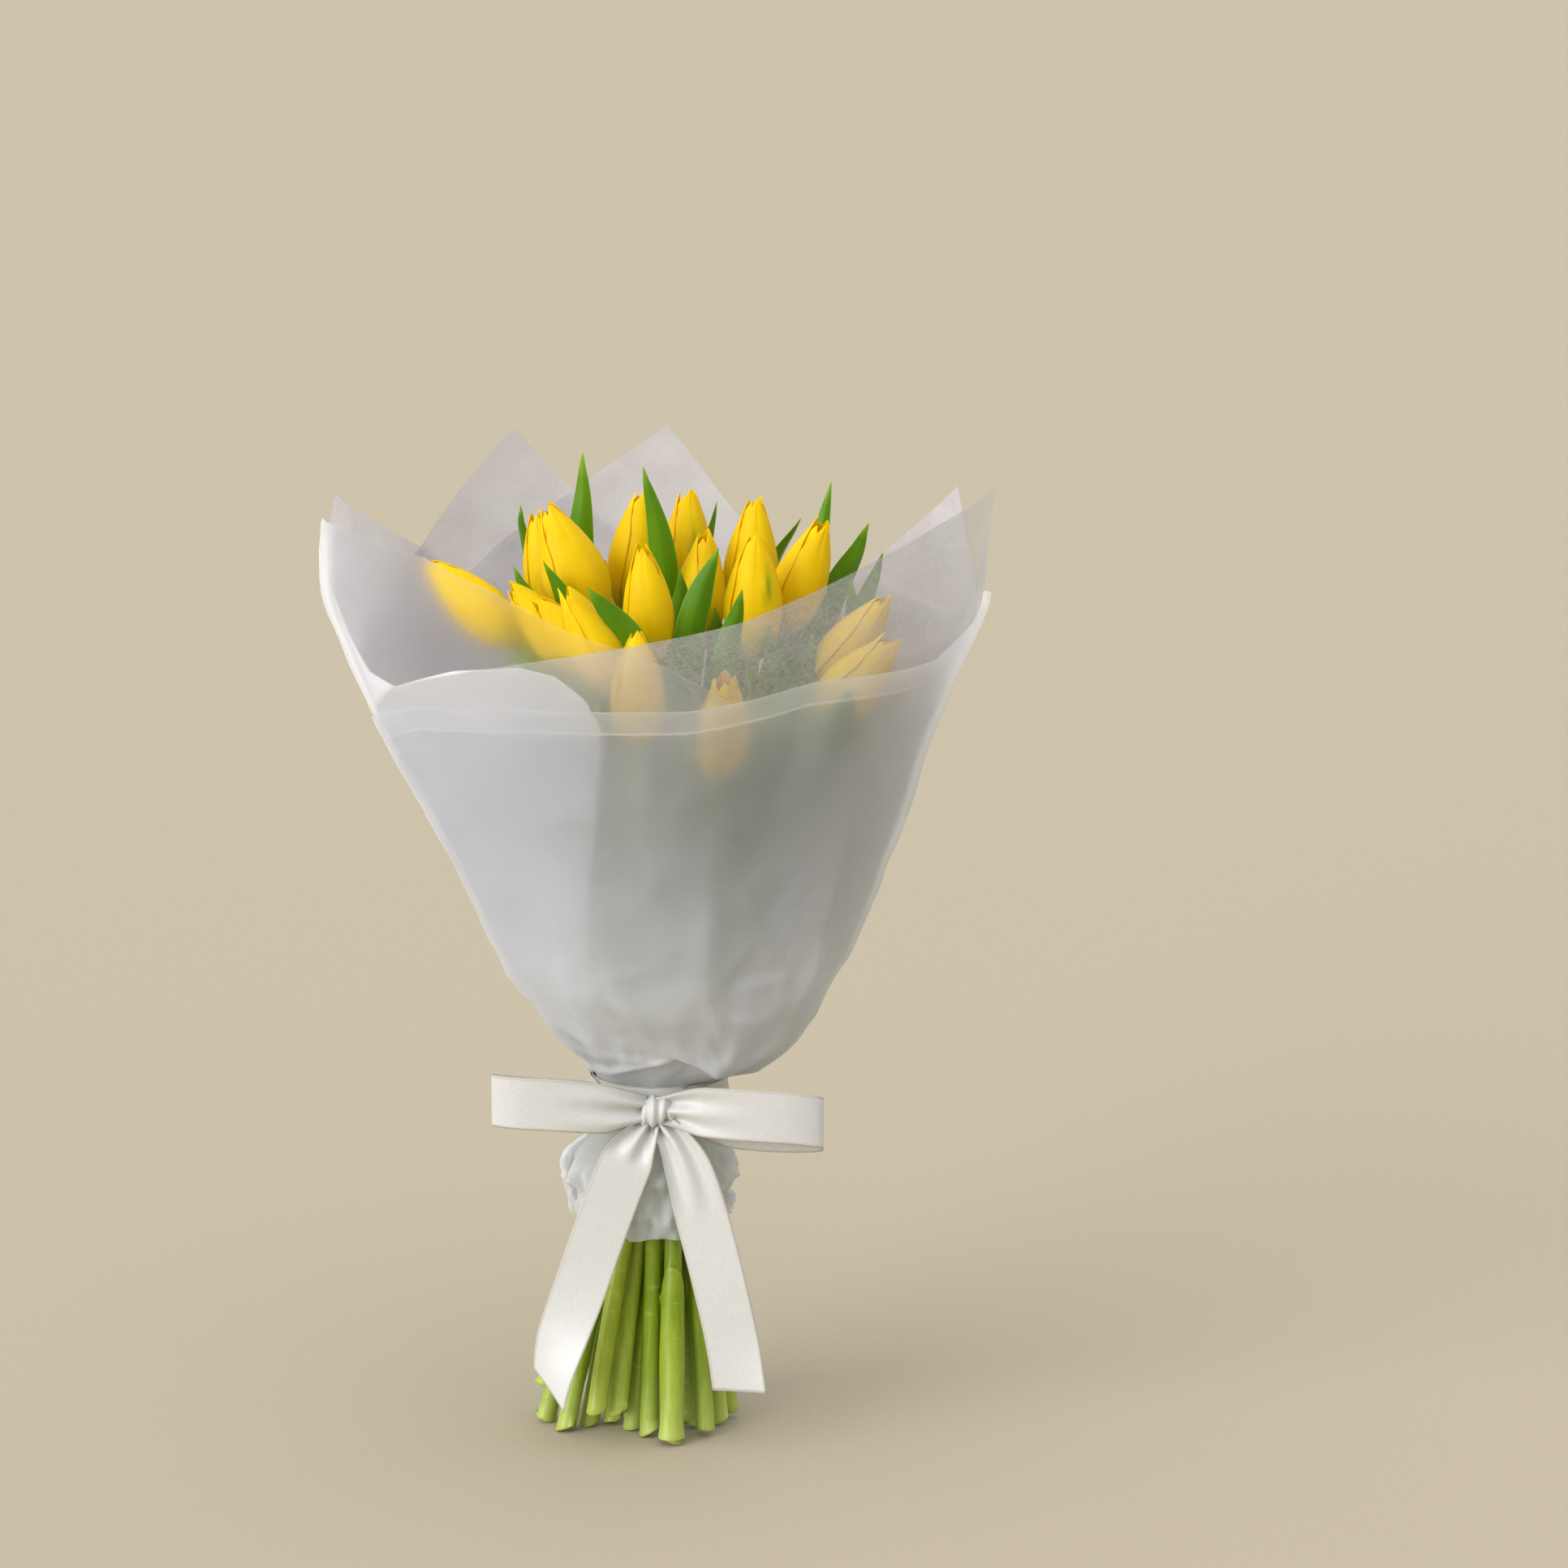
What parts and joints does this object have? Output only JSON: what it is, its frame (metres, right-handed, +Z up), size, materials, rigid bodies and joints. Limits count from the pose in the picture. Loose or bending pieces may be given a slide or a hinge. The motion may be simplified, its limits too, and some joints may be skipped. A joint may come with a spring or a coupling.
{
  "type": "bunch of tulips",
  "caption": "Bunch of closed yellow tulips in fibrous tissue and frosted film, tied at the neck with an ivory satin bow and standing on its cut stem ends.",
  "frame": {"origin": "middle of the underside of the whole bunch's box, on the surface that the cut stem ends stand on", "axes": "+Z up along the bunch; -Y is the front, where the bow is; +X is to the right seen from the front"},
  "size_m": [0.3146, 0.2442, 0.4612],
  "materials": {
    "petal": "soft matt petal with a faint sheen",
    "leaf": "smooth waxy leaf and stem",
    "tie": "natural rubber band, matt",
    "tissue": "thin fibrous tissue, matt",
    "film": "frosted film, smooth and translucent",
    "ribbon": "ivory satin, soft sheen"
  },
  "bodies": {
    "root": {"tulip_bloom_01": "petal", "tulip_stem_01": "leaf", "tulip_bloom_02": "petal", "tulip_stem_02": "leaf", "tulip_bloom_03": "petal", "tulip_stem_03": "leaf", "tulip_bloom_04": "petal", "tulip_stem_04": "leaf", "tulip_bloom_05": "petal", "tulip_stem_05": "leaf", "tulip_bloom_06": "petal", "tulip_stem_06": "leaf", "tulip_bloom_07": "petal", "tulip_stem_07": "leaf", "tulip_bloom_08": "petal", "tulip_stem_08": "leaf", "tulip_bloom_09": "petal", "tulip_stem_09": "leaf", "tulip_bloom_10": "petal", "tulip_stem_10": "leaf", "tulip_bloom_11": "petal", "tulip_stem_11": "leaf", "tulip_bloom_12": "petal", "tulip_stem_12": "leaf", "tulip_bloom_13": "petal", "tulip_stem_13": "leaf", "tulip_bloom_14": "petal", "tulip_stem_14": "leaf", "tulip_bloom_15": "petal", "tulip_stem_15": "leaf", "tulip_bloom_16": "petal", "tulip_stem_16": "leaf", "tulip_bloom_17": "petal", "tulip_stem_17": "leaf", "tulip_bloom_18": "petal", "tulip_stem_18": "leaf", "tulip_bloom_19": "petal", "tulip_stem_19": "leaf", "stem_tie": "tie", "tissue_back_right": "tissue", "tissue_back_left": "tissue", "tissue_wing_left": "tissue", "tissue_wing_right": "tissue", "tissue_front": "tissue", "film_left": "film", "film_front": "film", "ribbon_band": "ribbon", "ribbon_bow": "ribbon"}
  },
  "joints": []
}
